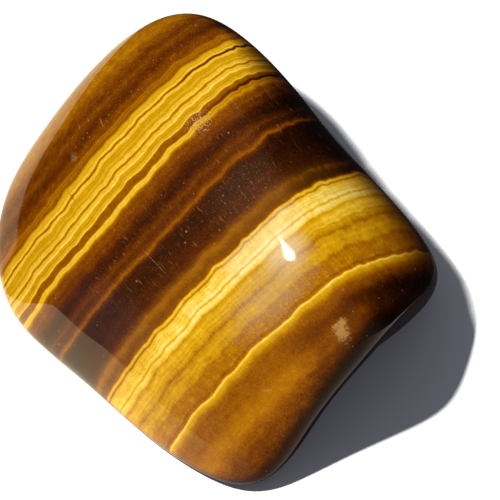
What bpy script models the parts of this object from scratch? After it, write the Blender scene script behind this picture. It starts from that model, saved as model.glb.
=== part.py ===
"""A tumbled, polished pebble of banded tiger's eye, grown and worn as one piece.

The pebble is a block with very round edges. It stands on the flat of its underside, at z = 0, with
its bounding box centred on the origin. +X runs across the bands, +Y along them, and +Z is up.
"""

import math
from collections import namedtuple

import bmesh
import bpy
from mathutils import Vector

MM = 0.001  # metres in a millimetre

# Driving dimensions, in millimetres and degrees
# The broad faces of the worn block: the way each one looks out and how far it is from the middle
Face = namedtuple("Face", "azimuth elevation distance")
FACES = (
    Face(268, 60, 5.70),  # crown, which slopes down towards -Y
    Face(0, -90, 6.40),  # underside
    Face(184, 3, 14.00),  # end across the first bands
    Face(13, -14, 11.90),  # end across the last bands, which leans in a little below
    Face(87, 16, 9.45),  # long side on +Y
    Face(277, 8, 10.40),  # long side on -Y
    Face(130, 15, 14.20),  # corner between the first end and +Y
    Face(285, 39, 7.90),  # slope above -Y
    Face(70, 51, 7.90),  # slope above +Y, on the last bands
    Face(233, 33, 8.55),  # slope above the corner between the first end and -Y
    Face(91, 40, 13.85),  # shoulder above +Y
    Face(352, 73, 10.35),  # shoulder above the last bands
    Face(212, 53, 8.40),  # slope above the first bands
    Face(297, 35, 7.85),  # slope above the corner between the last end and -Y
    Face(340, 31, 14.60),  # shoulder above the last end, towards -Y
    Face(32, 48, 13.95),  # shoulder above the last end, towards +Y
    Face(116, 54, 13.40),  # shoulder above the corner between the first end and +Y
)
EDGE_SHARPNESS = 8.3  # power that blends the faces: 2 is nearly a ball, 20 nearly a sharp block

# Broad shallow hollows worn into the sides: where each one looks out and its depth as a share of
# the stone's reach there
Hollow = namedtuple("Hollow", "azimuth elevation depth")
HOLLOWS = (
    Hollow(264, -18, 0.048),
    Hollow(7, -21, 0.104),
    Hollow(96, 3, 0.033),
)
HOLLOW_HALF_WIDTH = 26.0

MIDDLE = (0.98, -0.16, 6.30)  # where the block's middle lies, above the stone's resting point
SUBDIVISIONS = 5  # of the icosphere that the stone is drawn from


def direction(azimuth, elevation):
    """The unit vector that looks out at these angles."""
    turn = math.radians(azimuth)
    rise = math.radians(elevation)
    return Vector((math.cos(rise) * math.cos(turn), math.cos(rise) * math.sin(turn), math.sin(rise)))


def reach(ray):
    """How far the stone's surface is from its middle along a unit vector, in millimetres."""
    total = 0.0
    for face in FACES:
        share = max(0.0, ray.dot(direction(face.azimuth, face.elevation))) / face.distance
        total += share ** EDGE_SHARPNESS
    distance = total ** (-1.0 / EDGE_SHARPNESS)
    for hollow in HOLLOWS:
        away = 1.0 - ray.dot(direction(hollow.azimuth, hollow.elevation))
        spread = 1.0 - math.cos(math.radians(HOLLOW_HALF_WIDTH))
        distance *= 1.0 - hollow.depth * math.exp(-away / spread)
    return distance


def clear_objects():
    """Take away what the file opened with."""
    for thing in list(bpy.data.objects):
        bpy.data.objects.remove(thing, do_unlink=True)


def stone_material():
    """Polished golden brown quartz."""
    material = bpy.data.materials.new("tigers_eye")
    material.use_nodes = True
    shader = material.node_tree.nodes["Principled BSDF"]
    shader.inputs["Base Color"].default_value = (0.30, 0.13, 0.02, 1.0)
    shader.inputs["Metallic"].default_value = 0.0
    shader.inputs["Roughness"].default_value = 0.15
    material.diffuse_color = (0.30, 0.13, 0.02, 1.0)
    return material


def make_stone():
    """One closed body: a ball drawn out to the worn block, then ground flat underneath."""
    mesh = bpy.data.meshes.new("stone")
    form = bmesh.new()
    bmesh.ops.create_icosphere(form, subdivisions=SUBDIVISIONS, radius=1.0)
    middle = Vector(MIDDLE)
    for vertex in form.verts:
        ray = vertex.co.normalized()
        vertex.co = (middle + ray * reach(ray)) * MM
    cut = bmesh.ops.bisect_plane(
        form,
        geom=form.verts[:] + form.edges[:] + form.faces[:],
        dist=1e-7,
        plane_co=(0.0, 0.0, 0.0),
        plane_no=(0.0, 0.0, -1.0),
        clear_outer=True,
    )
    rim = [piece for piece in cut["geom_cut"] if isinstance(piece, bmesh.types.BMEdge)]
    bmesh.ops.contextual_create(form, geom=rim)
    bmesh.ops.recalc_face_normals(form, faces=form.faces)
    form.to_mesh(mesh)
    form.free()
    mesh.materials.append(stone_material())
    stone = bpy.data.objects.new("stone", mesh)
    bpy.context.scene.collection.objects.link(stone)
    return stone


def main():
    clear_objects()
    make_stone()


main()
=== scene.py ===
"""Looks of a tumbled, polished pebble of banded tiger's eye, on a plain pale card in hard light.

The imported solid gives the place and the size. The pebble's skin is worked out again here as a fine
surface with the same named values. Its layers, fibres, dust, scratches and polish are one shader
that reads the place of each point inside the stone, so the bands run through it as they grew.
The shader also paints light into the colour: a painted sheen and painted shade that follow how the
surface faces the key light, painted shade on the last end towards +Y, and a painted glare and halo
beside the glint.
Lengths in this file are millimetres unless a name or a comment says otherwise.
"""

import logging
import math
from dataclasses import dataclass, field
from enum import Enum
from typing import Any, Optional, Union

import bpy
import numpy as np
from mathutils import Matrix, Vector


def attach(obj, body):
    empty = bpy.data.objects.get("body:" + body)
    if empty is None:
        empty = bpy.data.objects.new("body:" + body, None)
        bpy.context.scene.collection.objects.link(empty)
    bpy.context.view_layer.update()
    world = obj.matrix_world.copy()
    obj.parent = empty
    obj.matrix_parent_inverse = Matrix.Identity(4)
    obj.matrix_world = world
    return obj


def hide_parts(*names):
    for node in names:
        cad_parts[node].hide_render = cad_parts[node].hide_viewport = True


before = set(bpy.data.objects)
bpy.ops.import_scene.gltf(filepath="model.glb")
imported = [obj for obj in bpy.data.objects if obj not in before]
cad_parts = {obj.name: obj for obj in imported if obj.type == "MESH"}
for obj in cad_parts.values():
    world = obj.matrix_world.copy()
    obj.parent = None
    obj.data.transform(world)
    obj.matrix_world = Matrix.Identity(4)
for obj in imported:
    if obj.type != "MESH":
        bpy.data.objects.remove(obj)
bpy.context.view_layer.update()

MM = 0.001  # metres in a millimetre
LOG = logging.getLogger("pebble")
Pair = tuple[float, float]
Triple = tuple[float, float, float]


def outward(azimuth: Any, elevation: Any) -> np.ndarray:
    """Unit vectors that look out at the given angles.

    Args:
        azimuth: degrees from +X, anticlockwise seen from above; a number or an array.
        elevation: degrees above the level plane; a number or an array.

    Returns:
        An array whose last axis holds x = cos e cos a, y = cos e sin a, z = sin e.
    """
    turn = np.radians(np.asarray(azimuth, float))
    rise = np.radians(np.asarray(elevation, float))
    flat = np.cos(rise)
    return np.stack([flat * np.cos(turn), flat * np.sin(turn), np.sin(rise)], axis=-1)


def towards(azimuth: float, elevation: float) -> Triple:
    """The unit vector that looks out at two angles, as plain numbers."""
    return tuple(outward(azimuth, elevation).tolist())


@dataclass(frozen=True)
class Face:
    """One broad face of the worn block: the way it looks out and its distance from the middle."""

    azimuth: float
    elevation: float
    distance: float


@dataclass(frozen=True)
class Hollow:
    """A broad shallow hollow: the way it looks out and its depth as a share of the reach there."""

    azimuth: float
    elevation: float
    depth: float


@dataclass(frozen=True)
class Rub:
    """A small spot where the tumbling has rubbed a ridge nearly flat, so that a lamp glints round.

    The spot is told by the way it looks out from the middle, the way along the ridge and the way
    across it. Lengths are millimetres and the tilts are slopes.
    """

    azimuth: float
    elevation: float
    along_ridge: Triple
    across_ridge: Triple
    spread: float
    tilt_along: float
    tilt_across: float
    flattening: float

    def lift(self, points: np.ndarray, spot: np.ndarray) -> np.ndarray:
        """How far the rubbing leaves each point out of the plain form.

        With u and v the offsets along and across the ridge, the lift is
        exp(-(u u + v v) / (2 spread spread)) (tilt_along u + tilt_across v + flattening v v / 2).

        Args:
            points: places in millimetres, one a row.
            spot: the middle of the rub.

        Returns:
            Millimetres outwards, one a point.
        """
        away = points - spot
        along = away @ np.array(self.along_ridge)
        across = away @ np.array(self.across_ridge)
        near = np.exp(-(away ** 2).sum(axis=1) / (2.0 * self.spread ** 2))
        slope = self.tilt_along * along + self.tilt_across * across
        return near * (slope + self.flattening * across ** 2 / 2.0)


@dataclass
class WornBlock:
    """The pebble's form: a block of broad faces with very round edges, ground flat underneath."""

    faces: tuple[Face, ...] = (
        Face(268, 60, 5.70),  # crown, which slopes down towards -Y
        Face(0, -90, 6.40),  # underside
        Face(184, 3, 14.00),  # end across the first bands
        Face(13, -14, 11.90),  # end across the last bands, which leans in a little below
        Face(87, 16, 9.45),  # long side on +Y
        Face(277, 8, 10.40),  # long side on -Y
        Face(130, 15, 14.20),  # corner between the first end and +Y
        Face(285, 39, 7.90),  # slope above -Y
        Face(70, 51, 7.90),  # slope above +Y, on the last bands
        Face(233, 33, 8.55),  # slope above the corner between the first end and -Y
        Face(91, 40, 13.85),  # shoulder above +Y
        Face(352, 73, 10.35),  # shoulder above the last bands
        Face(212, 53, 8.40),  # slope above the first bands
        Face(297, 35, 7.85),  # slope above the corner between the last end and -Y
        Face(340, 31, 14.60),  # shoulder above the last end, towards -Y
        Face(32, 48, 13.95),  # shoulder above the last end, towards +Y
        Face(116, 54, 13.40),  # shoulder above the corner between the first end and +Y
    )
    edge_sharpness: float = 8.3  # power that blends the faces
    hollows: tuple[Hollow, ...] = (
        Hollow(264, -18, 0.048),
        Hollow(7, -21, 0.104),
        Hollow(96, 3, 0.033),
    )
    hollow_half_width: float = 26.0
    middle: Triple = (0.98, -0.16, 6.30)  # above the stone's resting point
    rub: Rub = Rub(
        azimuth=1.6,
        elevation=46.6,
        along_ridge=(0.977, -0.138, -0.160),
        across_ridge=(-0.185, -0.925, -0.331),
        spread=0.7,
        tilt_along=0.0114,
        tilt_across=-0.0060,
        flattening=0.20,
    )
    lattice: int = 120  # steps along each edge of the cube that the skin is drawn from

    def reach(self, rays: np.ndarray) -> np.ndarray:
        """How far the surface is from the middle along unit rays.

        The reach is the sum over the faces of (max(0, ray . face) / distance) to the power of the
        sharpness, raised to minus one over the sharpness. Each hollow multiplies it by one less its
        depth times exp(-(1 - ray . hollow) / (1 - cos of the half width)).

        Args:
            rays: unit vectors, one a row.

        Returns:
            Reaches in millimetres, one a ray.
        """
        looks = outward([face.azimuth for face in self.faces], [face.elevation for face in self.faces])
        distances = np.array([face.distance for face in self.faces])
        shares = np.maximum(rays @ looks.T, 0.0) / distances
        reaches = (shares ** self.edge_sharpness).sum(axis=1) ** (-1.0 / self.edge_sharpness)
        spread = 1.0 - math.cos(math.radians(self.hollow_half_width))
        for hollow in self.hollows:
            away = 1.0 - rays @ outward(hollow.azimuth, hollow.elevation)
            reaches = reaches * (1.0 - hollow.depth * np.exp(-away / spread))
        return reaches

    def lattice_cube(self) -> tuple[np.ndarray, np.ndarray]:
        """The six gridded faces of a cube, with their shared edges merged.

        Each face is a grid of two parameters that both run from 0 to the lattice count. A point is
        named by its three whole coordinates on the cube, so the same point of two faces is one.

        Returns:
            The whole coordinates, one point a row, and the quads that join them, facing outwards.
        """
        count = self.lattice
        steps = np.arange(count + 1)
        first, second = np.meshgrid(steps, steps, indexing="ij")
        corner = np.arange(count)
        i, j = np.meshgrid(corner, corner, indexing="ij")
        width = count + 1
        grid = np.stack([i * width + j, (i + 1) * width + j, (i + 1) * width + j + 1, i * width + j + 1], -1)
        points = []
        quads = []
        for axis in range(3):
            for side in (0, count):
                along, across = (axis + 1) % 3, (axis + 2) % 3
                if side == 0:
                    along, across = across, along
                patch = np.empty((width, width, 3), int)
                patch[..., axis] = side
                patch[..., along] = first
                patch[..., across] = second
                quads.append(grid.reshape(-1, 4) + len(points) * width * width)
                points.append(patch.reshape(-1, 3))
        merged, places = np.unique(np.concatenate(points), axis=0, return_inverse=True)
        return merged, places.reshape(-1)[np.concatenate(quads)]

    def skin(self) -> tuple[np.ndarray, np.ndarray]:
        """The pebble's surface.

        A lattice coordinate k of n becomes tan((2k/n - 1) 45 degrees), which spaces the rays evenly,
        and the point lies on its ray at the reach, moved by the rub. What would pass below the
        resting plane is pressed flat on it.

        Returns:
            Points in metres in the row frame, and quads.
        """
        cube, quads = self.lattice_cube()
        rays = np.tan((2.0 * cube / self.lattice - 1.0) * math.pi / 4.0)
        rays /= np.linalg.norm(rays, axis=1, keepdims=True)
        points = rays * self.reach(rays)[:, None]
        look = outward(self.rub.azimuth, self.rub.elevation)[None]
        spot = look * self.reach(look)[:, None]
        outside = np.cross(self.rub.across_ridge, self.rub.along_ridge)
        outside *= np.sign(outside @ look[0])
        points = np.array(self.middle) + points + self.rub.lift(points, spot)[:, None] * outside
        points[:, 2] = np.maximum(points[:, 2], 0.0)
        return points * MM, quads

    def build(self, name: str) -> bpy.types.Object:
        """Make the mesh object.

        Args:
            name: the piece's name.

        Returns:
            The object, at the origin, with smooth faces that look outwards.
        """
        points, quads = self.skin()
        mesh = bpy.data.meshes.new(name)
        mesh.from_pydata(points.tolist(), [], quads.tolist())
        mesh.polygons.foreach_set("use_smooth", np.ones(len(quads), bool))
        mesh.update()
        piece = bpy.data.objects.new(name, mesh)
        bpy.context.scene.collection.objects.link(piece)
        return piece


class Wire:
    """One number or vector in a shader tree, so that arithmetic on it reads as plain Python."""

    def __init__(self, sheet: "Sheet", socket: bpy.types.NodeSocket) -> None:
        """Hold the socket and the sheet that it is on."""
        self.sheet = sheet
        self.socket = socket

    def __add__(self, other: "Number") -> "Wire":
        """This plus other."""
        return self.sheet.math("ADD", self, other)

    def __radd__(self, other: "Number") -> "Wire":
        """Other plus this."""
        return self.sheet.math("ADD", other, self)

    def __sub__(self, other: "Number") -> "Wire":
        """This less other."""
        return self.sheet.math("SUBTRACT", self, other)

    def __rsub__(self, other: "Number") -> "Wire":
        """Other less this."""
        return self.sheet.math("SUBTRACT", other, self)

    def __mul__(self, other: "Number") -> "Wire":
        """This times other."""
        return self.sheet.math("MULTIPLY", self, other)

    def __rmul__(self, other: "Number") -> "Wire":
        """Other times this."""
        return self.sheet.math("MULTIPLY", other, self)

    def __truediv__(self, other: "Number") -> "Wire":
        """This over other."""
        return self.sheet.math("DIVIDE", self, other)

    def __rtruediv__(self, other: "Number") -> "Wire":
        """Other over this."""
        return self.sheet.math("DIVIDE", other, self)

    def __pow__(self, other: "Number") -> "Wire":
        """This to the power of other."""
        return self.sheet.math("POWER", self, other)


Number = Union[Wire, float, int]


class Sheet:
    """A shader tree, with one method that makes any node and short forms for common ones."""

    def __init__(self, owner: Union[bpy.types.Material, bpy.types.World]) -> None:
        """Start an empty tree.

        Args:
            owner: a new material or sky.
        """
        self.owner = owner
        owner.use_nodes = True
        self.tree = owner.node_tree
        self.tree.nodes.clear()

    def node(self, kind: str, settings: dict[str, Any], values: dict[Any, Any], out: Any = 0) -> Wire:
        """Make a node, set it up, and then fill or link its sockets.

        Args:
            kind: the node's type.
            settings: properties to set first; "stops" holds a ramp's (place, colour) pairs.
            values: socket name or number, and the value or wire that goes into it.
            out: name or number of the output that is wanted.

        Returns:
            The wire of that output.
        """
        made = self.tree.nodes.new(kind)
        for key, value in settings.items():
            if key == "stops":
                self.set_stops(made.color_ramp, value)
            else:
                setattr(made, key, value)
        for key, value in values.items():
            if isinstance(value, Wire):
                self.tree.links.new(value.socket, made.inputs[key])
            else:
                made.inputs[key].default_value = value
        return Wire(self, made.outputs[out])

    def surface(self, shader: Wire) -> None:
        """Make a shader the owner's surface.

        Args:
            shader: the wire of the last shader.
        """
        sky = isinstance(self.owner, bpy.types.World)
        made = self.tree.nodes.new("ShaderNodeOutputWorld" if sky else "ShaderNodeOutputMaterial")
        self.tree.links.new(shader.socket, made.inputs["Surface"])

    @staticmethod
    def set_stops(ramp: bpy.types.ColorRamp, stops: list[tuple[float, Triple]]) -> None:
        """Give a ramp its stops.

        Args:
            ramp: a new ramp, with its two first stops.
            stops: places from 0 to 1, rising, each with its linear colour.
        """
        ramp.interpolation = "LINEAR"
        while len(ramp.elements) < len(stops):
            ramp.elements.new(1.0)
        for element, (place, colour) in zip(ramp.elements, stops):
            element.position = place
            element.color = (*colour, 1.0)

    def math(self, operation: str, *terms: Number, clamp: bool = False) -> Wire:
        """A Math node.

        Args:
            operation: its operation.
            terms: one to three numbers or wires.
            clamp: whether the result is held between 0 and 1.

        Returns:
            The result.
        """
        settings = {"operation": operation, "use_clamp": clamp}
        return self.node("ShaderNodeMath", settings, dict(enumerate(terms)))

    def length(self, first: Wire, second: Wire) -> Wire:
        """The length of a flat offset that goes so far each way."""
        return self.math("SQRT", first * first + second * second)

    def dot(self, vector: Wire, way: Triple) -> Wire:
        """How far a vector goes along a fixed way."""
        return self.node("ShaderNodeVectorMath", {"operation": "DOT_PRODUCT"}, {0: vector, 1: way}, "Value")

    def vector(self, x: Number, y: Number, z: Number) -> Wire:
        """A vector of three numbers."""
        return self.node("ShaderNodeCombineXYZ", {}, {0: x, 1: y, 2: z})

    def step(self, value: Number, low: float, high: float) -> Wire:
        """A soft step.

        Args:
            value: what is measured.
            low: where the step starts.
            high: where it is whole; below low, it falls instead.

        Returns:
            A wire from 0 to 1.
        """
        ends = (low, high, 0.0, 1.0) if high > low else (high, low, 1.0, 0.0)
        settings = {"interpolation_type": "SMOOTHSTEP"}
        return self.node("ShaderNodeMapRange", settings, dict(enumerate((value, *ends))))

    def noise(self, place: Wire, detail: float, roughness: float) -> Wire:
        """Soft noise, about 0 on average and mostly within 0.3 of it, one lump to a unit of place."""
        values = {"Vector": place, "Scale": 1.0, "Detail": detail, "Roughness": roughness}
        return self.node("ShaderNodeTexNoise", {"noise_dimensions": "3D"}, values) - 0.5

    def blend(self, share: Number, first: Any, second: Any, kind: str = "MIX") -> Wire:
        """Mix two colours.

        Args:
            share: how much of the second.
            first: a wire or a colour.
            second: a wire or a colour.
            kind: the way of mixing.

        Returns:
            The mixed colour.
        """
        settings = {"data_type": "RGBA", "blend_type": kind, "clamp_factor": True}
        colours = [given if isinstance(given, Wire) else (*given, 1.0) for given in (first, second)]
        return self.node("ShaderNodeMix", settings, {0: share, 6: colours[0], 7: colours[1]}, 2)


class Tone(Enum):
    """How brightly a layer's fibres gleam, from none to full."""

    INK = 0.0
    UMBER = 0.10
    SEPIA = 0.18
    RUSSET = 0.26
    SIENNA = 0.34
    CHESTNUT = 0.42
    AMBER = 0.50
    HONEY = 0.60
    OCHRE = 0.70
    BRASS = 0.76
    GOLD = 0.82
    GLEAM = 0.90
    PALE = 0.96
    CREAM = 1.0


@dataclass(frozen=True)
class Leaf:
    """A run of neighbouring layers, drawn by one ramp.

    The layers are places across the stone, in millimetres from the middle and rising, each with the
    tone that is reached there.
    """

    layers: dict[float, Tone]

    @property
    def low(self) -> float:
        """Where the run starts."""
        return min(self.layers)

    @property
    def high(self) -> float:
        """Where the run ends."""
        return max(self.layers)

    @property
    def first_tone(self) -> float:
        """The tone that the run starts with."""
        return self.layers[self.low].value

    def stops(self) -> list[tuple[float, Triple]]:
        """The run's layers as a ramp's stops, from 0 to 1, with their tones as greys."""
        length = self.high - self.low
        return [((place - self.low) / length, (tone.value,) * 3) for place, tone in self.layers.items()]


RIND = Leaf({
    -13.6: Tone.HONEY, -12.1: Tone.HONEY, -11.7: Tone.AMBER, -11.35: Tone.CHESTNUT, -11.0: Tone.SIENNA,
    -10.6: Tone.CHESTNUT, -10.3: Tone.SIENNA, -9.95: Tone.RUSSET, -9.65: Tone.SIENNA, -9.45: Tone.CHESTNUT,
    -9.12: Tone.CHESTNUT, -9.02: Tone.AMBER, -8.94: Tone.HONEY, -8.84: Tone.AMBER, -8.76: Tone.HONEY,
    -8.66: Tone.AMBER, -8.50: Tone.AMBER, -8.42: Tone.OCHRE, -8.34: Tone.BRASS,
})
FINE_LAMINAE = Leaf({
    -8.34: Tone.BRASS, -8.25: Tone.GOLD, -8.12: Tone.BRASS, -8.04: Tone.GLEAM, -7.96: Tone.GLEAM,
    -7.90: Tone.BRASS, -7.85: Tone.AMBER, -7.81: Tone.AMBER, -7.76: Tone.BRASS, -7.68: Tone.GLEAM,
    -7.60: Tone.GLEAM, -7.54: Tone.GOLD, -7.44: Tone.OCHRE, -7.34: Tone.BRASS, -7.26: Tone.OCHRE,
    -7.14: Tone.GOLD, -7.04: Tone.BRASS, -6.97: Tone.OCHRE, -6.88: Tone.GOLD, -6.80: Tone.GLEAM,
    -6.74: Tone.GOLD, -6.68: Tone.PALE, -6.62: Tone.GOLD, -6.56: Tone.HONEY, -6.50: Tone.HONEY,
    -6.44: Tone.BRASS,
})
LAST_LAMINAE = Leaf({
    -6.44: Tone.BRASS, -6.36: Tone.GLEAM, -6.28: Tone.GOLD, -6.20: Tone.PALE, -6.12: Tone.GLEAM,
    -6.04: Tone.OCHRE, -5.98: Tone.BRASS, -5.91: Tone.OCHRE, -5.84: Tone.OCHRE, -5.74: Tone.GOLD,
    -5.66: Tone.BRASS, -5.60: Tone.PALE, -5.54: Tone.BRASS, -5.48: Tone.AMBER, -5.10: Tone.AMBER,
    -5.04: Tone.OCHRE, -4.99: Tone.GLEAM, -4.94: Tone.GLEAM, -4.88: Tone.GOLD, -4.80: Tone.GLEAM,
    -4.72: Tone.BRASS, -4.64: Tone.HONEY, -4.56: Tone.AMBER, -4.42: Tone.CHESTNUT,
})
DARK_CORE = Leaf({
    -4.42: Tone.CHESTNUT, -4.15: Tone.CHESTNUT, -3.95: Tone.SIENNA, -3.75: Tone.SIENNA, -3.6: Tone.RUSSET,
    -3.4: Tone.SEPIA, -3.0: Tone.UMBER, -2.8: Tone.SEPIA, -2.62: Tone.RUSSET, -2.4: Tone.SIENNA,
    -2.2: Tone.RUSSET, -1.95: Tone.RUSSET, -1.72: Tone.CHESTNUT, -1.58: Tone.AMBER, -1.48: Tone.CHESTNUT,
    -1.38: Tone.RUSSET, -1.24: Tone.SEPIA, -1.1: Tone.UMBER, -0.1: Tone.UMBER, 0.3: Tone.SEPIA,
    0.7: Tone.SEPIA, 1.08: Tone.RUSSET, 1.26: Tone.SIENNA, 1.42: Tone.AMBER, 1.6: Tone.AMBER,
    1.78: Tone.CHESTNUT, 2.0: Tone.SIENNA, 2.2: Tone.CHESTNUT, 2.31: Tone.AMBER,
})
BRIGHT_BAND = Leaf({
    2.31: Tone.AMBER, 2.39: Tone.GOLD, 2.46: Tone.GLEAM, 2.52: Tone.GOLD, 2.57: Tone.OCHRE,
    2.61: Tone.HONEY, 2.65: Tone.OCHRE, 2.74: Tone.GLEAM, 2.84: Tone.GLEAM, 2.95: Tone.PALE,
    3.05: Tone.GLEAM, 3.15: Tone.PALE, 3.26: Tone.GLEAM, 3.38: Tone.PALE, 3.46: Tone.CREAM,
    3.54: Tone.PALE, 3.61: Tone.GOLD, 3.66: Tone.GOLD, 3.73: Tone.PALE, 3.80: Tone.CREAM,
    3.92: Tone.PALE, 4.04: Tone.GLEAM, 4.12: Tone.BRASS, 4.20: Tone.OCHRE, 4.34: Tone.BRASS,
})
OCHRE_BAND = Leaf({
    4.34: Tone.BRASS, 4.50: Tone.GOLD, 4.66: Tone.BRASS, 4.80: Tone.GOLD, 4.92: Tone.OCHRE,
    5.02: Tone.BRASS, 5.14: Tone.OCHRE, 5.36: Tone.HONEY, 5.55: Tone.OCHRE, 5.75: Tone.OCHRE,
    5.90: Tone.BRASS, 6.05: Tone.OCHRE, 6.35: Tone.OCHRE, 6.55: Tone.HONEY, 7.44: Tone.HONEY,
    7.60: Tone.AMBER, 7.78: Tone.HONEY, 7.86: Tone.PALE, 7.93: Tone.GLEAM, 8.02: Tone.BRASS,
    8.18: Tone.OCHRE, 8.36: Tone.HONEY, 8.60: Tone.AMBER, 9.50: Tone.AMBER, 10.1: Tone.HONEY,
    10.6: Tone.HONEY, 11.0: Tone.AMBER, 11.5: Tone.CHESTNUT, 12.5: Tone.SIENNA,
})
LEAVES = (RIND, FINE_LAMINAE, LAST_LAMINAE, DARK_CORE, BRIGHT_BAND, OCHRE_BAND)


@dataclass(frozen=True)
class Drift:
    """How far the layers near a place have moved across by the time they reach either side."""

    place: float
    towards_minus_y: float
    towards_plus_y: float


DRIFTS = (
    Drift(-13.0, 0.50, 0.20),
    Drift(-8.6, 0.52, 0.20),
    Drift(-7.0, 0.57, 0.15),
    Drift(-5.2, 0.56, -0.12),
    Drift(-3.3, 0.55, -0.05),
    Drift(-1.6, 0.38, -0.40),
    Drift(0.8, 0.10, -0.17),
    Drift(2.6, 0.05, -0.15),
    Drift(4.2, -0.12, -0.24),
    Drift(7.6, -0.60, 0.25),
    Drift(12.0, -0.62, 0.20),
)
MINUS_Y_DRIFT = (0.0, -7.5)  # places along the layers where the drift to -Y starts and is whole
PLUS_Y_DRIFT = (1.5, 7.5)  # and the same for +Y


@dataclass(frozen=True)
class PaintedSheen:
    """Painted sheen: how much brighter pale and dark layers are painted where the surface leans this much to
    the key light.
    """

    lean: float
    pale_layers: float
    dark_layers: float


# painted sheen and shade: colour gains by how far the surface leans towards the key light
PAINTED_SHEENS = (
    PaintedSheen(0.00, 0.75, 0.25),
    PaintedSheen(0.12, 0.65, 0.22),
    PaintedSheen(0.20, 0.80, 0.20),
    PaintedSheen(0.28, 1.12, 0.27),
    PaintedSheen(0.36, 1.50, 0.52),
    PaintedSheen(0.44, 1.74, 0.82),
    PaintedSheen(0.52, 1.66, 0.95),
    PaintedSheen(0.60, 1.48, 1.00),
    PaintedSheen(0.68, 1.32, 1.00),
    PaintedSheen(0.76, 1.21, 1.00),
    PaintedSheen(0.84, 1.13, 1.00),
    PaintedSheen(0.92, 1.03, 1.00),
    PaintedSheen(1.00, 0.97, 1.00),
)


@dataclass(frozen=True)
class Mark:
    """A straight scratch or bruise in the polish, given by its ends across and along the layers."""

    start: Pair
    end: Pair
    half_width: float
    strength: float


PALE_MARKS = (
    Mark((-11.6, -3.0), (-9.2, -3.8), 0.20, 0.24),
    Mark((-11.2, -1.9), (-10.5, -2.3), 0.03, 0.40),
    Mark((-10.6, -5.4), (-9.9, -5.7), 0.03, 0.35),
    Mark((-9.9, -1.4), (-9.3, -1.7), 0.03, 0.35),
    Mark((-1.6, -5.2), (0.5, -5.2), 0.02, 0.30),
    Mark((-2.1, 5.2), (-1.5, 5.1), 0.03, 0.55),
    Mark((5.4, -0.2), (7.1, -1.7), 0.05, 0.30),
    Mark((4.2, -1.4), (4.6, -0.4), 0.05, 0.30),
    Mark((9.3, -5.0), (9.7, -4.6), 0.05, 0.25),
)
DARK_MARKS = (
    Mark((-8.9, -4.9), (-7.7, -5.4), 0.03, 0.20),
    Mark((-7.7, -5.4), (-7.2, -5.55), 0.05, 0.45),
    Mark((-7.2, -5.55), (-6.3, -5.8), 0.03, 0.20),
    Mark((3.0, -7.0), (7.0, -6.8), 0.025, 0.18),
    Mark((2.4, -3.9), (4.0, -3.8), 0.02, 0.18),
)


@dataclass(frozen=True)
class Figure:
    """A soft noise in the stone.

    The lumps are how many there are to a millimetre across the layers, along them and up. The
    strength is how far the noise moves a tone, or millimetres where it bends the layers. The extra
    is added to the strength in the layers where the figure shows most.
    """

    lumps: Triple
    detail: float
    roughness: float
    strength: float
    extra: float = 0.0
    in_layers: bool = False


CRINKLE = Figure((0.4, 1.05, 0.6), 1.0, 0.35, 0.42)
FRILL = Figure((1.2, 3.0, 1.5), 0.0, 0.5, 0.04)
WANDER = Figure((0.12, 0.3, 0.2), 0.0, 0.5, 0.15)
FIBRES = Figure((0.7, 5.0, 5.0), 3.0, 0.7, 0.10, 0.08)
PATCHES = Figure((2.2, 1.3, 1.3), 2.0, 0.6, 0.12, 0.10, in_layers=True)
STREAKS = Figure((4.0, 0.9, 0.9), 3.0, 0.6, 0.08, 0.05, in_layers=True)
GRAIN = Figure((8.0, 13.0, 13.0), 1.0, 0.6, 0.16, 0.10)
MOTTLE = Figure((1.5, 2.6, 2.6), 2.0, 0.6, 0.05, 0.15)
DASHES = Figure((1.3, 7.0, 7.0), 1.0, 0.6, 1.0)
DARK_TONES = (0.6, 0.35)  # tones where the dark layers start and are whole
TOP_HEIGHTS = (0.0, 0.6)  # heights above the middle where the stone's top starts and is whole


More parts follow.
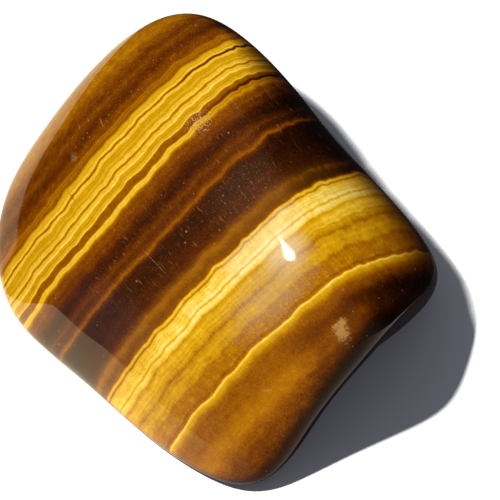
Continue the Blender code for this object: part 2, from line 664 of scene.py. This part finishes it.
class Inside:
    """Where a shaded point lies inside the stone, and the noises there.

    Lengths are millimetres from the stone's middle: across the layers, along them, and up in their
    plane. The place is the length across without the layers' drift and crinkles, which is what the
    list of layers counts in, and the tone is the one that the list gives there. Dark is 1 in the
    dark layers, and top is 1 on the stone's upper half, and both are 0 elsewhere.
    """

    def __init__(self, sheet: Sheet, middle: Triple, tilt: float) -> None:
        """Find the point.

        Args:
            sheet: the material's tree.
            middle: the stone's middle.
            tilt: degrees that the layers' normal leans up from +X.
        """
        self.sheet = sheet
        self.noises: dict[Figure, Wire] = {}
        spot = sheet.node("ShaderNodeTexCoord", {}, {}, "Object")
        scaled = {"Location": tuple(-part for part in middle), "Scale": (1.0 / MM,) * 3}
        spot = sheet.node("ShaderNodeMapping", {"vector_type": "POINT"}, {"Vector": spot, **scaled})
        self.across = sheet.dot(spot, towards(0.0, tilt))
        self.along = sheet.dot(spot, (0.0, 1.0, 0.0))
        self.up = sheet.dot(spot, towards(0.0, tilt + 90.0))
        self.top = sheet.step(self.up, *TOP_HEIGHTS)
        self.place = self.straightened()
        self.tone = self.layer_tone()
        self.dark = sheet.step(self.tone, *DARK_TONES)

    def straightened(self) -> Wire:
        """The length across the layers once their drift and their crinkles are taken out.

        The drift at a place comes from a ramp whose red and green hold the drift towards each side,
        each as 0.5 plus half of it, and grows from none near the middle line to whole at the side.

        Returns:
            The place that the list of layers counts in.
        """
        sheet = self.sheet
        low, high = DRIFTS[0].place, DRIFTS[-1].place
        stops = []
        for drift in DRIFTS:
            sides = (0.5 + 0.5 * drift.towards_minus_y, 0.5 + 0.5 * drift.towards_plus_y, 0.0)
            stops.append(((drift.place - low) / (high - low), sides))
        both = sheet.node("ShaderNodeValToRGB", {"stops": stops}, {0: (self.across - low) / (high - low)})
        minus_side = sheet.dot(both, (2.0, 0.0, 0.0)) - 1.0
        plus_side = sheet.dot(both, (0.0, 2.0, 0.0)) - 1.0
        place = self.across - minus_side * sheet.step(self.along, *MINUS_Y_DRIFT)
        place = place - plus_side * sheet.step(self.along, *PLUS_Y_DRIFT)
        for figure in (CRINKLE, FRILL, WANDER):
            place = place + figure.strength * self.noise(figure)
        return place

    def layer_tone(self) -> Wire:
        """The tone of the layer at the point: the leaves, each counted from where the last one ended.

        Returns:
            The tone, from 0 to 1.
        """
        tone = LEAVES[0].first_tone
        for leaf in LEAVES:
            share = (self.place - leaf.low) / (leaf.high - leaf.low)
            own = self.sheet.node("ShaderNodeValToRGB", {"stops": leaf.stops()}, {0: share})
            tone = tone + self.sheet.dot(own, (1.0, 0.0, 0.0)) - leaf.first_tone
        return tone

    def noise(self, figure: Figure) -> Wire:
        """A figure's noise at the point, which is made once.

        Args:
            figure: which noise.

        Returns:
            About 0 on average, before the figure's strength.
        """
        if figure not in self.noises:
            first = self.place if figure.in_layers else self.across
            lumps = [part * count for part, count in zip((first, self.along, self.up), figure.lumps)]
            spot = self.sheet.vector(*lumps)
            self.noises[figure] = self.sheet.noise(spot, figure.detail, figure.roughness)
        return self.noises[figure]


@dataclass(frozen=True)
class Span:
    """A stretch whose soft ends are told by where each one starts and where it is whole."""

    rise: Optional[Pair] = None
    fall: Optional[Pair] = None

    def share(self, sheet: Sheet, length: Wire) -> Number:
        """1 where a length is in the stretch and 0 outside it."""
        return math.prod(sheet.step(length, *end) for end in (self.rise, self.fall) if end)


@dataclass(frozen=True)
class Zone:
    """A part of some layers: a stretch of places across them and a stretch along them."""

    across: Span
    along: Span = Span()

    def share(self, inside: Inside) -> Wire:
        """1 at a point in the zone and 0 outside it."""
        return self.across.share(inside.sheet, inside.place) * self.along.share(inside.sheet, inside.along)


CRUST = Zone(Span(fall=(-8.8, -9.6)))  # the first end, outside the fine laminae
INNER = Zone(Span(fall=(1.5, 0.5)))  # everything before the strip
DUSK = Zone(Span((-1.3, -0.8), (2.2, 0.9)), Span((-2.4, 0.2), (4.0, 1.4)))  # greyer part of the core
STRIP = Zone(Span((0.9, 1.4), (2.35, 2.1)))  # brown layers just before the bright band
BRIGHT = Zone(Span((2.2, 2.6), (8.2, 7.4)))  # the bright and the ochre band
PAINTED_GLARE = Zone(Span((2.3, 2.7), (4.1, 3.7)), Span((-3.6, -1.8), (3.2, 1.4)))  # painted glare on the bright band, beside the glint
OUTER = Zone(Span((8.1, 9.4)))  # the last end


@dataclass(frozen=True)
class Shade:
    """A zone whose tone is higher or lower than the list of layers gives it; some rows are painted shade or
    sheen.
    """

    change: float
    zone: Zone


SHADES = (
    Shade(-0.25, Zone(Span((-7.98, -7.89), (-7.70, -7.79)), Span((1.0, 4.0)))),  # a dark line in the laminae
    Shade(-0.26, Zone(Span((-5.36, -5.10), (-4.60, -4.86)), Span((-2.0, 5.5)))),  # their last edge
    Shade(0.02, STRIP),  # the strip, which darkens towards +Y in two steps
    Shade(-0.07, Zone(STRIP.across, Span((-1.5, 1.0)))),
    Shade(-0.10, Zone(STRIP.across, Span((2.0, 4.5)))),
    Shade(-0.07, Zone(Span((2.3, 2.6), (4.3, 4.0)), Span(fall=(-6.6, -8.4)))),  # the bright band's low end
    Shade(0.09, Zone(Span((4.0, 4.3), (5.0, 4.7)), Span((2.0, 4.0)))),  # painted sheen: lighter beside its high end, towards +Y, where the surface turns from the key light
    Shade(-0.08, Zone(OUTER.across, Span((-4.5, -1.0)))),  # painted shade: the last end darker towards +Y, where it turns from the key light, in four steps
    Shade(-0.03, Zone(OUTER.across, Span((-1.0, 3.5)))),
    Shade(-0.09, Zone(Span((8.7, 9.6)), Span((-3.5, -1.2)))),
    Shade(-0.07, Zone(Span((8.7, 9.6)), Span((-1.0, 1.5)))),
)


class Hue(Enum):
    """Colours that parts of the stone show in the key light, as screen red, green and blue."""

    SCAR = (96, 60, 30)
    DUSK = (112, 90, 70)
    STRIP = (150, 98, 14)
    GLITTER = (160, 132, 96)
    SPECK = (186, 150, 105)
    DASH = (196, 140, 66)
    # painted glare: a pale patch beside the glint
    PAINTED_GLARE_PATCH = (226, 194, 146)
    SCRATCH = (226, 188, 138)
    DUST = (228, 198, 150)
    CHIP = (236, 184, 104)
    # painted highlight: the halo round the glint
    PAINTED_HALO = (255, 238, 206)
    # painted glare on the bright band
    PAINTED_GLARE = (255, 252, 214)


@dataclass(frozen=True)
class Blot:
    """A soft patch on the stone's top, with a ragged edge.

    The squeeze multiplies the distances from the centre across and along the layers. The edge is
    the distance where the patch starts and the one where it is whole, and the ragged values are how
    far the patches and the grain of the stone push it, in millimetres.
    """

    centre: Pair
    squeeze: Pair
    edge: Pair
    ragged: Pair
    strength: float
    hue: Hue

    def share(self, inside: Inside) -> Wire:
        """How much of a point the patch covers.

        The distance is the length of (point - centre) times squeeze, plus the raggedness.

        Args:
            inside: the point.

        Returns:
            From 0 outside the patch to its strength.
        """
        across = (inside.across - self.centre[0]) * self.squeeze[0]
        along = (inside.along - self.centre[1]) * self.squeeze[1]
        away = inside.sheet.length(across, along)
        away = away + self.ragged[0] * inside.noise(PATCHES) + self.ragged[1] * inside.noise(GRAIN)
        return self.strength * inside.sheet.step(away, *self.edge) * inside.top


DUST = Blot((-4.9, 1.5), (1.0, 1.0), (1.0, 0.3), (0.0, 0.0), 0.75, Hue.DUST)
CHIP = Blot((10.35, -0.2), (0.9, 1.0), (0.55, 0.20), (1.6, 1.0), 0.5, Hue.CHIP)
# painted highlight: a halo round the glint
PAINTED_HALO = Blot((4.7, 0.1), (1.0, 1.0), (1.9, 0.2), (0.8, 0.0), 0.40, Hue.PAINTED_HALO)
# painted glare: a pale patch beside the glint
PAINTED_GLARE_PATCH = Blot((5.9, -1.9), (1.0, 0.62), (2.2, 0.3), (2.2, -1.4), 0.30, Hue.PAINTED_GLARE_PATCH)


def shown(red: int, green: int, blue: int) -> Triple:
    """The linear colour of a screen colour.

    Args:
        red: from 0 to 255.
        green: from 0 to 255.
        blue: from 0 to 255.

    Returns:
        Linear red, green and blue.
    """
    shares = np.array([red, green, blue]) / 255.0
    linear = np.where(shares > 0.04045, ((shares + 0.055) / 1.055) ** 2.4, shares / 12.92)
    return tuple(float(part) for part in linear)


@dataclass(frozen=True)
class TigersEye:
    """Polished tiger's eye: wavy layers of golden fibres in brown quartz under a clear polish."""

    middle: Triple
    layer_tilt: float = -8.0  # degrees that the layers' normal leans up from +X
    light_share: float = 1.76  # how many times its own colour a point on the crown shows
    painted_sheen_way: Pair = (242.0, 65.0)  # the key light's azimuth and elevation, which the painted sheen follows
    pale_tones: Pair = (0.24, 0.54)  # tones where the pale layers' painted sheen starts and is whole
    painted_shade_leans: Pair = (0.46, 0.14)  # leans where the painted shade's deeper tint starts and is whole
    # painted shade: a deeper tint where the surface leans away from the key light
    painted_shade_tint: Triple = (1.0, 0.74, 0.40)
    dash_noise: Pair = (0.14, 0.27)  # the dashes' noise where a dash starts and is whole
    dash_tones: Pair = (0.75, 0.6)  # tones where the dashes start to show and are whole
    glitter_grain: Pair = (0.13, 0.24)  # grain where the glitter starts and is whole
    dust_grain: Pair = (0.06, 0.18)  # and the same for the dust
    scratch_grain: Pair = (-0.10, 0.14)  # and for the unbroken parts of the pale scratches
    speck_cells: float = 2.2  # cells to a millimetre, each with one speck of dust
    speck_size: float = 0.16  # radius of the largest speck, as a share of its cell
    roughness: float = 0.035
    coat_roughness: float = 0.05
    veil: Pair = (0.02, 0.78)  # the coat everywhere, and what is added low on the -Y side
    veil_along: Span = Span(fall=(-6.5, -8.5))
    veil_across: Span = Span((-9.0, -6.0))
    tones: tuple[tuple[Tone, tuple[int, int, int]], ...] = (
        (Tone.INK, (30, 10, 3)),
        (Tone.UMBER, (63, 25, 4)),
        (Tone.SEPIA, (78, 31, 3)),
        (Tone.RUSSET, (96, 42, 2)),
        (Tone.SIENNA, (113, 52, 1)),
        (Tone.CHESTNUT, (130, 66, 1)),
        (Tone.AMBER, (151, 85, 1)),
        (Tone.HONEY, (175, 107, 2)),
        (Tone.OCHRE, (204, 146, 8)),
        (Tone.BRASS, (218, 160, 14)),
        (Tone.GOLD, (231, 174, 24)),
        (Tone.GLEAM, (248, 198, 52)),
        (Tone.PALE, (255, 215, 92)),
        (Tone.CREAM, (255, 232, 136)),
    )

    def own(self, rgb: tuple[int, int, int]) -> Triple:
        """The stone's own colour that shows as this screen colour on the crown."""
        return tuple(part / self.light_share for part in shown(*rgb))

    def figured_tone(self, inside: Inside) -> Wire:
        """The layers' tone with the stone's figures and shades.

        Args:
            inside: the point.

        Returns:
            The tone, which may pass 0 and 1 a little.
        """
        tone, dark = inside.tone, inside.dark
        bright = BRIGHT.share(inside)
        mottled = CRUST.share(inside) + 0.8 * STRIP.share(inside)
        figures = {FIBRES: bright, PATCHES: bright, STREAKS: dark, GRAIN: dark, MOTTLE: mottled}
        for figure, most in figures.items():
            tone = tone + inside.noise(figure) * (figure.strength + figure.extra * most)
        for shade in SHADES:
            tone = tone + shade.change * shade.zone.share(inside)
        return tone

    def layer_colour(self, inside: Inside, tone: Wire) -> Wire:
        """The colour of the fibres at a point, without their sheen.

        Args:
            inside: the point.
            tone: its tone.

        Returns:
            The colour.
        """
        sheet = inside.sheet
        stops = [(step.value, self.own(rgb)) for step, rgb in self.tones]
        colour = sheet.node("ShaderNodeValToRGB", {"stops": stops}, {0: tone})
        colour = sheet.blend(0.30 * STRIP.share(inside), colour, self.own(Hue.STRIP.value))
        return sheet.blend(0.10 * DUSK.share(inside), colour, self.own(Hue.DUSK.value))

    def with_painted_sheen(self, inside: Inside, tone: Wire, colour: Wire) -> Wire:
        """A colour with the painted sheen and painted shade of its layer.

        Args:
            inside: the point.
            tone: the layer's tone.
            colour: the layer's colour.

        Returns:
            The colour times a painted sheen strength that follows the surface's lean to the key light,
            more so in pale layers, and tinted deeper as painted shade where it leans away.
        """
        sheet = inside.sheet
        facing = sheet.node("ShaderNodeTexCoord", {}, {}, "Normal")
        lean = sheet.dot(facing, towards(*self.painted_sheen_way))
        stops = [(sheen.lean, (sheen.pale_layers / 2, sheen.dark_layers / 2, 0.0)) for sheen in PAINTED_SHEENS]
        both = sheet.node("ShaderNodeValToRGB", {"stops": stops}, {0: lean})
        pale = sheet.dot(both, (2.0, 0.0, 0.0))
        dark = sheet.dot(both, (0.0, 2.0, 0.0))
        # painted sheen: brighter or darker by how the surface faces the key light
        strength = dark + (pale - dark) * sheet.step(tone, *self.pale_tones)
        # painted shade: a deeper, redder tint where the surface leans away from the key light
        colour = sheet.blend(sheet.step(lean, *self.painted_shade_leans), colour, self.painted_shade_tint, "MULTIPLY")
        return sheet.node("ShaderNodeVectorMath", {"operation": "SCALE"}, {0: colour, "Scale": strength})

    def dusted(self, inside: Inside, tone: Wire, colour: Wire) -> Wire:
        """A colour under the stone's short pale dashes, its glitter and the dust on its top.

        Args:
            inside: the point.
            tone: the layer's tone.
            colour: the colour there.

        Returns:
            The colour with what lies on it.
        """
        sheet = inside.sheet
        grain = inside.noise(GRAIN)
        dashes = sheet.step(inside.noise(DASHES), *self.dash_noise) * sheet.step(tone, *self.dash_tones)
        dashes = dashes * (INNER.share(inside) + 0.7 * OUTER.share(inside)) * inside.top
        dashes = dashes * (0.20 + 0.30 * CRUST.share(inside))
        colour = sheet.blend(dashes, colour, self.own(Hue.DASH.value))
        glitter = sheet.step(grain, *self.glitter_grain)
        glitter = glitter * (0.10 * inside.dark + 0.34 * DUSK.share(inside))
        colour = sheet.blend(glitter * inside.top, colour, self.own(Hue.GLITTER.value))
        dust = DUST.share(inside) * sheet.step(grain, *self.dust_grain)
        colour = sheet.blend(dust, colour, self.own(DUST.hue.value))
        return sheet.blend(0.45 * self.specks(inside), colour, self.own(Hue.SPECK.value))

    def specks(self, inside: Inside) -> Wire:
        """Fine dust: one dot at the seed of each cell, most of them too small to see.

        A dot's radius is the speck size times a chance from 0 to 1, to the power of six.

        Args:
            inside: the point.

        Returns:
            1 on a dot, 0 elsewhere.
        """
        sheet = inside.sheet
        place = sheet.vector(inside.across, inside.along, inside.up)
        settings = {"voronoi_dimensions": "3D"}
        values = {"Vector": place, "Scale": self.speck_cells}
        away = sheet.node("ShaderNodeTexVoronoi", settings, values, "Distance")
        chance = sheet.dot(sheet.node("ShaderNodeTexVoronoi", settings, values, "Color"), (1.0, 0.0, 0.0))
        return sheet.step(away - self.speck_size * chance ** 6.0, 0.03, -0.01)

    def worn(self, inside: Inside, colour: Wire) -> Wire:
        """A colour with the chip, the pale scratches, which the grain breaks up, and the dark ones.

        Args:
            inside: the point.
            colour: the colour there.

        Returns:
            The colour with the wear.
        """
        sheet = inside.sheet
        colour = sheet.blend(CHIP.share(inside), colour, self.own(CHIP.hue.value))
        broken = 0.35 + 0.65 * sheet.step(inside.noise(GRAIN), *self.scratch_grain)
        scratches = self.marked(inside, PALE_MARKS) * broken
        colour = sheet.blend(scratches, colour, self.own(Hue.SCRATCH.value))
        return sheet.blend(self.marked(inside, DARK_MARKS), colour, self.own(Hue.SCAR.value))

    @staticmethod
    def marked(inside: Inside, marks: tuple[Mark, ...]) -> Wire:
        """How much of a point is covered by the strongest of some marks on the top.

        The distance to a mark is the length of what is left of (point - start) after taking away
        the mark's own run times the share of it that the point has reached, held from 0 to 1.

        Args:
            inside: the point.
            marks: the marks.

        Returns:
            From 0 away from them to the strongest mark's strength.
        """
        sheet = inside.sheet
        cover = 0.0
        for mark in marks:
            run = (mark.end[0] - mark.start[0], mark.end[1] - mark.start[1])
            square = run[0] ** 2 + run[1] ** 2
            first, second = inside.across - mark.start[0], inside.along - mark.start[1]
            reached = sheet.math("ADD", first * (run[0] / square), second * (run[1] / square), clamp=True)
            away = sheet.length(first - reached * run[0], second - reached * run[1])
            own = sheet.step(away, mark.half_width, 0.3 * mark.half_width) * mark.strength
            cover = sheet.math("MAXIMUM", cover, own)
        return cover * inside.top

    def with_painted_glare(self, inside: Inside, colour: Wire) -> Wire:
        """A colour with painted glare on the bright band and a painted highlight halo beside the glint.

        Args:
            inside: the point.
            colour: the colour there.

        Returns:
            The colour with the painted glare.
        """
        sheet = inside.sheet
        # painted glare on the bright band, beside the glint
        colour = sheet.blend(0.20 * PAINTED_GLARE.share(inside) * inside.top, colour, self.own(Hue.PAINTED_GLARE.value))
        # painted highlight halo and painted glare patch beside the glint
        for blot in (PAINTED_HALO, PAINTED_GLARE_PATCH):
            colour = sheet.blend(blot.share(inside), colour, self.own(blot.hue.value))
        return colour

    def build(self, name: str) -> bpy.types.Material:
        """Make the material.

        Args:
            name: its name.

        Returns:
            The finished material.
        """
        sheet = Sheet(bpy.data.materials.new(name))
        inside = Inside(sheet, self.middle, self.layer_tilt)
        tone = self.figured_tone(inside)
        # painted sheen and shade by the surface's lean to the key light
        colour = self.with_painted_sheen(inside, tone, self.layer_colour(inside, tone))
        colour = self.with_painted_glare(inside, self.worn(inside, self.dusted(inside, tone, colour)))
        veil = self.veil_along.share(sheet, inside.along) * self.veil_across.share(sheet, inside.across)
        values = {
            "Base Color": colour,
            "Roughness": self.roughness,
            "IOR": 1.33,
            "Specular IOR Level": 0.58,
            "Specular Tint": (1.0, 0.78, 0.35, 1.0),
            "Coat Weight": self.veil[0] + self.veil[1] * veil,
            "Coat Roughness": self.coat_roughness,
            "Coat IOR": 1.54,
        }
        sheet.surface(sheet.node("ShaderNodeBsdfPrincipled", {}, values))
        return sheet.owner


@dataclass
class Pebble:
    """The stone: its fine skin in place of the plain solid, dressed as tiger's eye."""

    form: WornBlock = field(default_factory=WornBlock)
    node: str = "stone"

    def build(self) -> bpy.types.Object:
        """Make the skin, dress it and put it in the solid's place.

        Returns:
            The finished piece.
        """
        piece = self.form.build("polished_stone")
        piece.data.materials.append(TigersEye(self.form.middle).build("tigers_eye"))
        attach(piece, "root")
        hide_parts(self.node)
        return piece


@dataclass
class Studio:
    """The plain surroundings: a pale card, a small hard key light, a dim sky and the camera.

    The card's rim is given by azimuths and by how far it reaches there. On the shadow's side it
    follows the shadow, and all round it sets what the polish reflects low on the stone.
    """

    middle: Triple
    card_rim: tuple[Pair, ...] = (
        (0.0, 60.0), (12.0, 55.0), (20.0, 42.0), (26.0, 26.0), (31.0, 17.8), (36.0, 16.1),
        (42.0, 15.4), (50.0, 14.7), (60.0, 13.4), (70.0, 12.4), (80.0, 11.9), (90.0, 11.9),
        (100.0, 12.4), (110.0, 13.1), (120.0, 13.8), (130.0, 14.5), (140.0, 15.2), (150.0, 18.0),
        (158.0, 21.5), (164.0, 24.5), (171.0, 27.5), (180.0, 28.0), (188.0, 26.5), (194.0, 23.0),
        (201.0, 20.6), (211.0, 19.8), (216.0, 19.8), (220.0, 18.2), (224.0, 16.0), (228.0, 14.0),
        (235.0, 13.6), (238.0, 17.0), (241.0, 21.5), (244.0, 24.6), (252.0, 25.6), (263.0, 24.6),
        (268.0, 26.7), (274.0, 28.5), (280.0, 30.0), (285.0, 36.0), (290.0, 44.0), (296.0, 46.0),
        (303.0, 46.0), (311.0, 46.0), (318.0, 50.0), (326.0, 56.0), (335.0, 60.0), (348.0, 60.0),
    )
    card_fade: float = 0.8  # width of the rim, over which the card turns clear
    card_top: float = -0.01  # its height, just below the stone's flat
    card_seen: Triple = (0.80, 0.79, 0.76)
    card_reflected: Triple = (0.63, 0.54, 0.37)
    card_reflected_in_shade: Triple = (0.25, 0.20, 0.18)
    shade_azimuth: float = 10.0  # the side of the last end, where the card reflects darker
    shade_start: Pair = (4.0, 10.0)  # how far out that starts and is whole
    key_azimuth: float = 242.0
    key_elevation: float = 65.0
    key_strength: float = 5.6
    key_angle: float = 2.0
    sky: Triple = (0.195, 0.210, 0.262)
    sky_seen_strength: float = 1.1
    dark_azimuth: float = 145.0
    dark_sides: Pair = (-0.45, 0.15)  # leans to that azimuth where the darkness starts and is whole
    dark_heights: Pair = (0.85, 0.45)  # heights on the unit sphere where it starts and is whole
    darkness: float = 0.96
    camera_azimuth: float = -40.0
    camera_elevation: float = 61.0
    camera_distance: float = 200.0
    pixels_to_mm: float = 17.0
    picture_size: int = 500
    middle_in_picture: Pair = (222.6, 240.5)

    def card_mesh(self) -> bpy.types.Mesh:
        """The card's mesh: a flat polygon and a rim around it, where its cover falls from 1 to 0.

        A rim point at azimuth a lies at (r cos a, r sin a), with r the reach there less or plus half
        of the fade.

        Returns:
            The mesh, with the cover as an attribute of its points.
        """
        turns = np.arange(0.0, 360.0, 1.0)
        azimuths, radii = np.array(self.card_rim).T
        reaches = np.interp(turns, azimuths, radii, period=360.0)
        around = np.radians(turns)
        level = np.full_like(around, self.card_top)
        rings = []
        for reach in (reaches - self.card_fade / 2, reaches + self.card_fade / 2):
            rings.append(np.stack([reach * np.cos(around), reach * np.sin(around), level], -1))
        count = len(turns)
        here = np.arange(count)
        after = (here + 1) % count
        rim = np.stack([here, count + here, count + after, after], -1)
        mesh = bpy.data.meshes.new("card")
        mesh.from_pydata((np.concatenate(rings) * MM).tolist(), [], [here.tolist(), *rim.tolist()])
        cover = mesh.attributes.new("cover", "FLOAT", "POINT")
        cover.data.foreach_set("value", np.repeat([1.0, 0.0], count))
        return mesh

    def card_material(self) -> bpy.types.Material:
        """The card's plain paper, which turns clear over its rim.

        The camera sees it nearly white. Reflections in the polish see it darker and warmer, and
        darker still beyond the stone's last end.

        Returns:
            The finished material.
        """
        sheet = Sheet(bpy.data.materials.new("white_card"))
        cover = sheet.node("ShaderNodeAttribute", {"attribute_name": "cover"}, {}, "Fac")
        seen = sheet.node("ShaderNodeLightPath", {}, {}, "Is Camera Ray")
        spot = sheet.node("ShaderNodeTexCoord", {}, {}, "Object")
        start, whole = self.shade_start
        shade = sheet.step(sheet.dot(spot, towards(self.shade_azimuth, 0.0)), start * MM, whole * MM)
        tint = sheet.blend(shade, self.card_reflected, self.card_reflected_in_shade)
        tint = sheet.blend(seen, tint, self.card_seen)
        paper = sheet.node("ShaderNodeBsdfDiffuse", {}, {"Color": tint})
        clear = sheet.node("ShaderNodeBsdfTransparent", {}, {})
        mixed = {0: sheet.step(cover, 0.0, 1.0), 1: clear, 2: paper}
        sheet.surface(sheet.node("ShaderNodeMixShader", {}, mixed))
        return sheet.owner

    def card(self) -> None:
        """The card that the stone lies on."""
        card = bpy.data.objects.new("card", self.card_mesh())
        card.data.materials.append(self.card_material())
        bpy.context.scene.collection.objects.link(card)

    def key(self) -> None:
        """The small hard key light."""
        light = bpy.data.lights.new("key", "SUN")
        light.energy = self.key_strength
        light.angle = math.radians(self.key_angle)
        lamp = bpy.data.objects.new("key", light)
        way = Vector(towards(self.key_azimuth, self.key_elevation))
        lamp.rotation_euler = way.to_track_quat("Z", "Y").to_euler()
        bpy.context.scene.collection.objects.link(lamp)

    def dome(self) -> None:
        """A dim sky, darker low down on most sides, which the camera itself sees as white."""
        sheet = Sheet(bpy.data.worlds.new("sky"))
        way = sheet.node("ShaderNodeTexCoord", {}, {}, "Generated")
        dark = sheet.step(sheet.dot(way, towards(self.dark_azimuth, 0.0)), *self.dark_sides)
        low = sheet.step(sheet.dot(way, (0.0, 0.0, 1.0)), *self.dark_heights)
        values = {"Color": (*self.sky, 1.0), "Strength": 1.0 - self.darkness * dark * low}
        dim = sheet.node("ShaderNodeBackground", {}, values)
        values = {"Color": (1.0, 1.0, 1.0, 1.0), "Strength": self.sky_seen_strength}
        white = sheet.node("ShaderNodeBackground", {}, values)
        seen = sheet.node("ShaderNodeLightPath", {}, {}, "Is Camera Ray")
        sheet.surface(sheet.node("ShaderNodeMixShader", {}, {0: seen, 1: dim, 2: white}))
        bpy.context.scene.world = sheet.owner

    def camera(self) -> None:
        """The camera, level in roll, with the stone's middle at its place in the picture."""
        back = outward(self.camera_azimuth, self.camera_elevation)
        right = outward(self.camera_azimuth + 90.0, 0.0)
        upward = np.cross(back, right)
        shift_right = (self.picture_size / 2 - self.middle_in_picture[0]) / self.pixels_to_mm
        shift_up = (self.middle_in_picture[1] - self.picture_size / 2) / self.pixels_to_mm
        place = np.array(self.middle) + self.camera_distance * back
        place = place + shift_right * right + shift_up * upward
        data = bpy.data.cameras.new("camera")
        data.type = "ORTHO"
        data.ortho_scale = self.picture_size / self.pixels_to_mm * MM
        data.clip_start = 0.01
        data.clip_end = 10.0
        camera = bpy.data.objects.new("camera", data)
        turn = Matrix((right, upward, back)).transposed()
        camera.matrix_world = Matrix.Translation(Vector((place * MM).tolist())) @ turn.to_4x4()
        bpy.context.scene.collection.objects.link(camera)
        bpy.context.scene.camera = camera

    def build(self) -> None:
        """Set everything up, with plain display colours."""
        self.card()
        self.key()
        self.dome()
        self.camera()
        bpy.context.scene.view_settings.view_transform = "Standard"
        bpy.context.scene.view_settings.look = "None"


def main() -> None:
    """Build the pebble and its surroundings."""
    logging.basicConfig(level=logging.INFO, format="%(name)s: %(message)s")
    pebble = Pebble()
    piece = pebble.build()
    LOG.info("%s: %d faces", piece.name, len(piece.data.polygons))
    Studio(pebble.form.middle).build()


if __name__ == "__main__":
    main()
